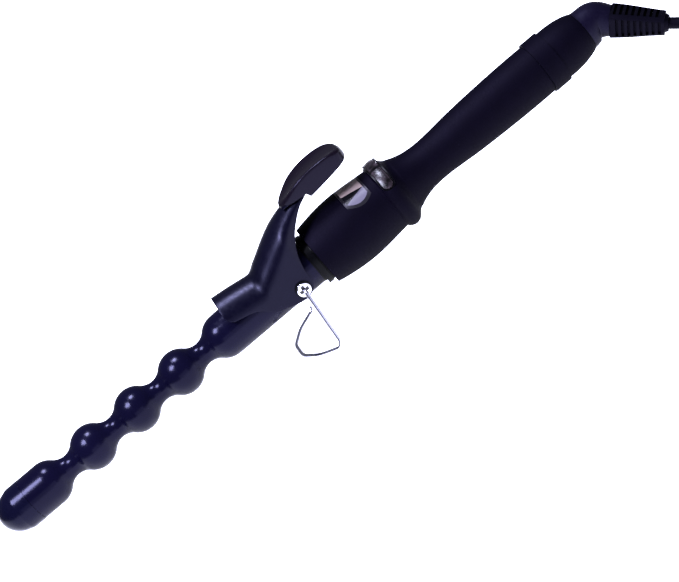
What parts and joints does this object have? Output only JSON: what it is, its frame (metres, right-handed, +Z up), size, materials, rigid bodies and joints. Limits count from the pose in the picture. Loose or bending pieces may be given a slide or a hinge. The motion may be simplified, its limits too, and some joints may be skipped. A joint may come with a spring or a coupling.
{
  "type": "curling iron",
  "caption": "Curling iron with beaded barrel, sprung thumb clip, folding wire stand, display handle with keys, and swivel lead with plug.",
  "frame": {"origin": "centre of the bounding box of the iron without its lead, at the surface it stands on", "axes": "+X along the iron from the cool tip to the lead, +Z up, towards the display and lever; the iron leans 1.8 degrees tail-down on its wire stand"},
  "size_m": [0.5385, 0.0987, 0.0764],
  "materials": {
    "barrel_coat": "glossy black titanium-look coating",
    "tip_plastic": "glossy heat-proof nylon",
    "black_plastic": "satin moulded",
    "soft_touch": "matte soft-touch paint over moulded shell",
    "clip_coat": "glossy black-blue coated steel",
    "pad_plastic": "glossy moulded",
    "chrome": "polished",
    "steel": "plain",
    "spring_steel": "black oxide",
    "ceramic": null,
    "copper": "bare copper alloy",
    "film": "amber film",
    "aluminium": "extruded",
    "wire_sleeve": "braided glass sleeve",
    "lens": "smoky glossy lens",
    "silver_trim": "metallised silver-lilac",
    "lcd": "backlit blue panel",
    "light_guide": "milky guide",
    "smoke_chrome": "smoky metallised",
    "silicone": "soft",
    "circuit_board": "solder mask",
    "component": "moulded",
    "cord_rubber": "satin"
  },
  "bodies": {
    "iron": {"barrel": "barrel_coat", "cool_tip": "tip_plastic", "tip_insulator": "black_plastic", "tip_screw": "steel", "heater_stones": "ceramic", "electrode_plates": "copper", "insulating_film": "film", "heater_clamps": "aluminium", "thermistor": "component", "thermal_fuse": "component", "heater_leads": "wire_sleeve", "base_collar": "black_plastic", "front_bezel": "black_plastic", "pivot_block": "steel", "pivot_screws": "chrome", "pivot_washers": "black_plastic", "lever_spring": "spring_steel", "handle_upper_shell": "soft_touch", "handle_lower_shell": "soft_touch", "shell_screws": "steel", "display_frame": "silver_trim", "display_window": "lens", "lcd_panel": "lcd", "backlight": "light_guide", "display_ribbon": "film", "button_bezel": "black_plastic", "button_mat": "silicone", "button_carrier": "black_plastic", "tact_switches": "component", "main_board": "circuit_board", "board_screws": "steel", "control_chip": "component", "triac": "component", "film_capacitor": "film", "resistors": "ceramic", "supply_wires": "cord_rubber", "lock_band": "soft_touch", "end_cap": "soft_touch", "swivel_bush": "black_plastic", "contact_brushes": "copper"},
    "clip": {"clip_lever": "clip_coat", "thumb_pad": "pad_plastic", "pad_screws": "steel"},
    "stand": {"wire_stand": "chrome"},
    "minus_key": {"button_minus": "smoke_chrome"},
    "power_key": {"button_power": "smoke_chrome"},
    "plus_key": {"button_plus": "smoke_chrome"},
    "swivel": {"swivel_elbow": "cord_rubber", "slip_rings": "copper", "cord_boot": "cord_rubber", "lead": "cord_rubber", "lead_coil": "cord_rubber", "lead_end": "cord_rubber", "cord_tie": "black_plastic", "plug_body": "black_plastic", "plug_pins": "chrome"}
  },
  "joints": [
    {"name": "clip_lever_hinge", "type": "hinge", "parent": "iron", "child": "clip", "pos_m": [-0.0181, 0, 0.03209], "axis": [0, 1, 0], "range_deg": [0, 12], "stiffness_Nm_per_rad": 0.8, "springref_deg": -8.59, "deforming": ["lever_spring"]},
    {"name": "stand_fold", "type": "hinge", "parent": "iron", "child": "stand", "pos_m": [-0.0181, 0, 0.03209], "axis": [0, -1, 0], "range_deg": [-30, 92]},
    {"name": "minus_press", "type": "slide", "parent": "iron", "child": "minus_key", "axis": [-0.0237, 0.6561, -0.7543], "range_m": [0, 0.0006], "stiffness_N_per_m": 600, "springref_m": -0.0006},
    {"name": "power_press", "type": "slide", "parent": "iron", "child": "power_key", "axis": [-0.0314, 0, -0.9995], "range_m": [0, 0.0006], "stiffness_N_per_m": 600, "springref_m": -0.0006},
    {"name": "plus_press", "type": "slide", "parent": "iron", "child": "plus_key", "axis": [-0.0237, -0.6561, -0.7543], "range_m": [0, 0.0006], "stiffness_N_per_m": 600, "springref_m": -0.0006},
    {"name": "lead_swivel", "type": "hinge", "parent": "iron", "child": "swivel", "pos_m": [0.17599, 0, 0.02899], "axis": [0.9995, 0, -0.0314], "continuous": true}
  ]
}
